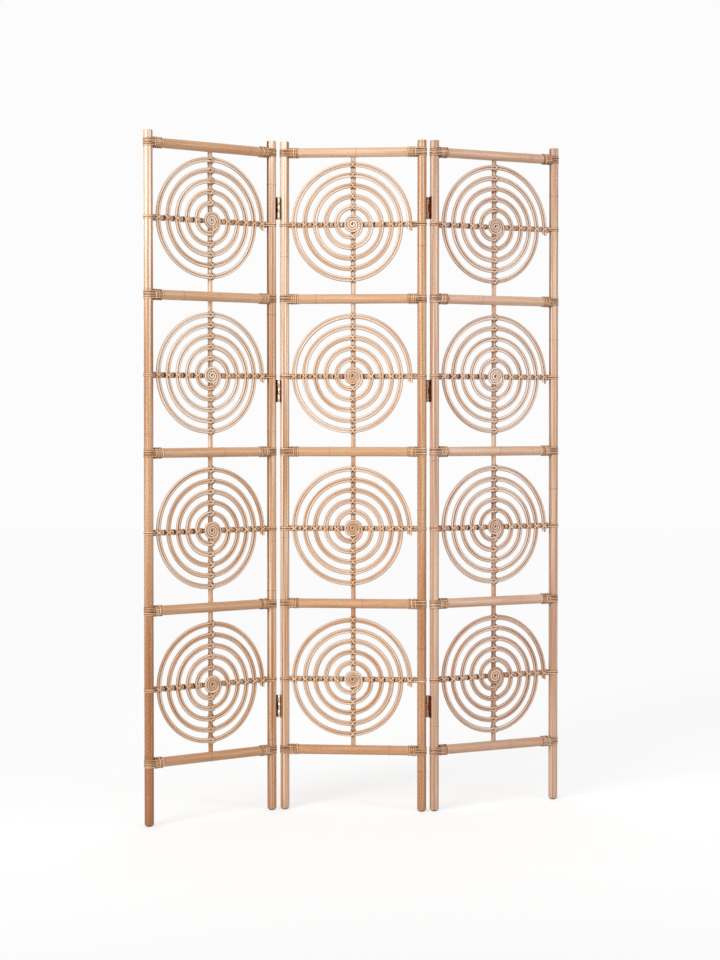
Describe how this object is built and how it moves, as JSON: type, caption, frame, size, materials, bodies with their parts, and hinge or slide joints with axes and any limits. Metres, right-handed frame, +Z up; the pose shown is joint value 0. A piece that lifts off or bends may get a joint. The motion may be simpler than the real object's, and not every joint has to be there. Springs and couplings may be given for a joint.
{
  "type": "folding screen",
  "caption": "Folding cane room divider: hinged panels of round posts and rails, each bay filled by a flat spiral of paired canes tied to crossed sticks.",
  "frame": {"origin": "on the floor, at the centre of the standing screen's bounding box in its zigzag rest pose", "axes": "+Z up along the posts; X along the middle panel, +X to the viewer's right; the front, where the spirals lie, faces -Y"},
  "size_m": [1.0782, 0.4637, 1.8],
  "materials": {
    "thick_cane": "natural peeled rattan pole, satin",
    "thin_cane": "natural rattan core, matt",
    "binding_cane": "split rattan peel, satin",
    "hinge_metal": "dark antique bronze, brushed"
  },
  "bodies": {
    "left_panel": {"left_panel_outer_post": "thick_cane", "left_panel_hinge_post": "thick_cane", "left_panel_bottom_rail": "thick_cane", "left_panel_lower_rail": "thick_cane", "left_panel_middle_rail": "thick_cane", "left_panel_upper_rail": "thick_cane", "left_panel_top_rail": "thick_cane", "left_panel_uprights": "thin_cane", "left_panel_crossbars": "thin_cane", "left_panel_bottom_spiral": "thin_cane", "left_panel_lower_spiral": "thin_cane", "left_panel_upper_spiral": "thin_cane", "left_panel_top_spiral": "thin_cane", "left_panel_rail_bindings": "binding_cane", "left_hinge_leaves_on_left_panel": "hinge_metal"},
    "middle_panel": {"middle_panel_left_post": "thick_cane", "middle_panel_right_post": "thick_cane", "middle_panel_bottom_rail": "thick_cane", "middle_panel_lower_rail": "thick_cane", "middle_panel_middle_rail": "thick_cane", "middle_panel_upper_rail": "thick_cane", "middle_panel_top_rail": "thick_cane", "middle_panel_uprights": "thin_cane", "middle_panel_crossbars": "thin_cane", "middle_panel_bottom_spiral": "thin_cane", "middle_panel_lower_spiral": "thin_cane", "middle_panel_upper_spiral": "thin_cane", "middle_panel_top_spiral": "thin_cane", "middle_panel_rail_bindings": "binding_cane", "left_hinge_leaves_on_middle_panel": "hinge_metal", "left_hinge_pins": "hinge_metal", "right_hinge_leaves_on_middle_panel": "hinge_metal", "right_hinge_pins": "hinge_metal"},
    "right_panel": {"right_panel_hinge_post": "thick_cane", "right_panel_outer_post": "thick_cane", "right_panel_bottom_rail": "thick_cane", "right_panel_lower_rail": "thick_cane", "right_panel_middle_rail": "thick_cane", "right_panel_upper_rail": "thick_cane", "right_panel_top_rail": "thick_cane", "right_panel_uprights": "thin_cane", "right_panel_crossbars": "thin_cane", "right_panel_bottom_spiral": "thin_cane", "right_panel_lower_spiral": "thin_cane", "right_panel_upper_spiral": "thin_cane", "right_panel_top_spiral": "thin_cane", "right_panel_rail_bindings": "binding_cane", "right_hinge_leaves_on_right_panel": "hinge_metal"}
  },
  "joints": [
    {"name": "left_fold", "type": "hinge", "parent": "middle_panel", "child": "left_panel", "pos_m": [-0.21403, 0.00937, 0], "axis": [0, 0, 1], "range_deg": [-30.4, 141.6]},
    {"name": "right_fold", "type": "hinge", "parent": "middle_panel", "child": "right_panel", "pos_m": [0.18337, 0.04017, 0], "axis": [0, 0, 1], "range_deg": [-21.7, 150.3]}
  ]
}
